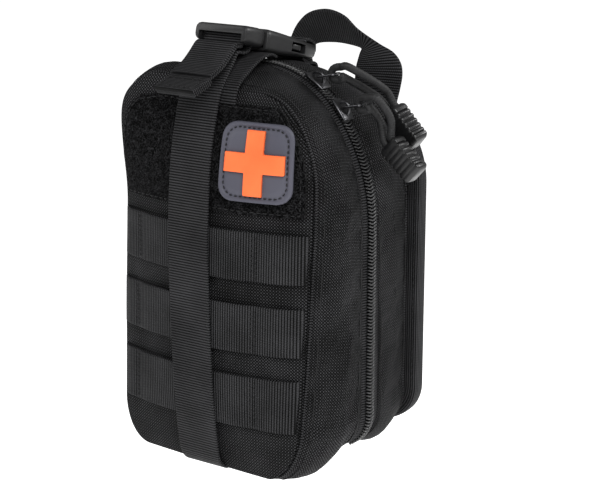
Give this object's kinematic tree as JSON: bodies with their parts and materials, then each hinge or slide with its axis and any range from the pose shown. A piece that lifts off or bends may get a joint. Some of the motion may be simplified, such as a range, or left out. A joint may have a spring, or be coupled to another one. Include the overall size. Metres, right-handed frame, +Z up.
{
  "type": "rip-away first aid pouch",
  "caption": "Black nylon rip-away first aid pouch: zipped clamshell bag with webbing rows, loop field, patch, buckle strap and carry handle on a mounting panel.",
  "frame": {"origin": "on the flat bottom of the rear half, in the middle of its width, at the zip line", "axes": "+X to the right seen from the front, +Y towards the mounting panel at the back, +Z up"},
  "size_m": [0.1659, 0.123, 0.2264],
  "materials": {
    "nylon_cloth": "woven, coated inside",
    "webbing": "ribbed weave",
    "loop_pile": "brushed loops",
    "hook_tape": "short hooks",
    "black_plastic": "satin",
    "zip_teeth": "satin",
    "cord": "braided",
    "dark_metal": "black oxide",
    "grey_rubber": "matt moulded",
    "orange_rubber": "matt moulded",
    "mesh_cloth": "open mesh"
  },
  "bodies": {
    "mounting_panel": {"panel_core": "nylon_cloth", "panel_binding": "webbing", "panel_hook_field": "hook_tape", "panel_webbing_row_1": "webbing", "panel_webbing_row_2": "webbing", "panel_webbing_row_3": "webbing", "snap_stud_left": "dark_metal", "snap_stud_right": "dark_metal", "buckle_female": "black_plastic", "buckle_lead": "webbing"},
    "carry_handle": {"carry_handle": "webbing"},
    "left_mount_strap": {"mount_strap_left": "webbing", "snap_cap_left": "dark_metal"},
    "right_mount_strap": {"mount_strap_right": "webbing", "snap_cap_right": "dark_metal"},
    "rear_half": {"rear_gusset": "nylon_cloth", "rear_panel": "nylon_cloth", "rear_loop_field": "loop_pile", "rear_divider": "nylon_cloth", "rear_elastic_band_1": "webbing", "rear_elastic_band_2": "webbing", "rear_elastic_band_3": "webbing", "bottom_hinge_strip": "nylon_cloth", "rear_zip_tape": "webbing", "rear_zip_teeth": "zip_teeth"},
    "front_half": {"front_gusset": "nylon_cloth", "front_panel": "nylon_cloth", "front_loop_field": "loop_pile", "front_webbing_row_1": "webbing", "front_webbing_row_2": "webbing", "front_webbing_row_3": "webbing", "front_lift_loop": "webbing", "front_mesh_pocket": "mesh_cloth", "front_pocket_hem": "webbing", "front_zip_tape": "webbing", "front_zip_teeth": "zip_teeth"},
    "patch": {"patch_hook_backing": "hook_tape", "patch_base": "grey_rubber", "patch_cross": "orange_rubber"},
    "closure_strap": {"closure_strap": "webbing", "buckle_male": "black_plastic"},
    "left_latch": {"buckle_latch_left": "black_plastic"},
    "right_latch": {"buckle_latch_right": "black_plastic"},
    "upper_slider": {"upper_slider": "dark_metal"},
    "lower_slider": {"lower_slider": "dark_metal"},
    "upper_pull": {"upper_puller_link": "dark_metal", "upper_cord": "cord", "upper_grip": "black_plastic"},
    "lower_pull": {"lower_puller_link": "dark_metal", "lower_cord": "cord", "lower_grip": "black_plastic"}
  },
  "joints": [
    {"name": "rip_away", "type": "slide", "parent": "mounting_panel", "child": "rear_half", "axis": [0, -0.9681, 0.2504], "range_m": [0, 0.06]},
    {"name": "clamshell_open", "type": "hinge", "parent": "rear_half", "child": "front_half", "pos_m": [0, 0, 0], "axis": [1, 0, 0], "range_deg": [0, 100]},
    {"name": "closure_strap_swing", "type": "hinge", "parent": "front_half", "child": "closure_strap", "pos_m": [-0.006, -0.026, 0.0014], "axis": [1, 0, 0], "range_deg": [0, 120]},
    {"name": "left_latch_squeeze", "type": "hinge", "parent": "closure_strap", "child": "left_latch", "pos_m": [-0.016, -0.01113, 0.21627], "axis": [0, -0.2504, -0.9681], "range_deg": [0, 5]},
    {"name": "right_latch_squeeze", "type": "hinge", "parent": "closure_strap", "child": "right_latch", "pos_m": [0.004, -0.01113, 0.21627], "axis": [0, 0.2504, 0.9681], "range_deg": [0, 5]},
    {"name": "patch_lift", "type": "slide", "parent": "front_half", "child": "patch", "axis": [0.06, -0.9954, 0.074], "range_m": [0, 0.025]},
    {"name": "upper_slider_travel", "type": "hinge", "parent": "rear_half", "child": "upper_slider", "pos_m": [0, 0, 0.142], "axis": [0, -1, 0], "range_deg": [0, 16]},
    {"name": "lower_slider_travel", "type": "hinge", "parent": "rear_half", "child": "lower_slider", "pos_m": [-0.022, 0, 0.12415], "axis": [0, 1, 0], "range_deg": [0, 22]},
    {"name": "upper_pull_swing", "type": "hinge", "parent": "upper_slider", "child": "upper_pull", "pos_m": [0.03538, 0, 0.19819], "axis": [0, -1, 0], "range_deg": [0, 50]},
    {"name": "lower_pull_swing", "type": "hinge", "parent": "lower_slider", "child": "lower_pull", "pos_m": [0.05146, 0, 0.18397], "axis": [0, -1, 0], "range_deg": [0, 40]},
    {"name": "handle_swing", "type": "hinge", "parent": "mounting_panel", "child": "carry_handle", "pos_m": [0.018, 0.0527, 0.161], "axis": [-1, 0, 0], "range_deg": [0, 75]},
    {"name": "left_mount_strap_swing", "type": "hinge", "parent": "mounting_panel", "child": "left_mount_strap", "pos_m": [-0.0381, 0.053, 0.158], "axis": [1, 0, 0], "range_deg": [0, 90]},
    {"name": "right_mount_strap_swing", "type": "hinge", "parent": "mounting_panel", "child": "right_mount_strap", "pos_m": [0.0381, 0.053, 0.158], "axis": [1, 0, 0], "range_deg": [0, 90]}
  ]
}
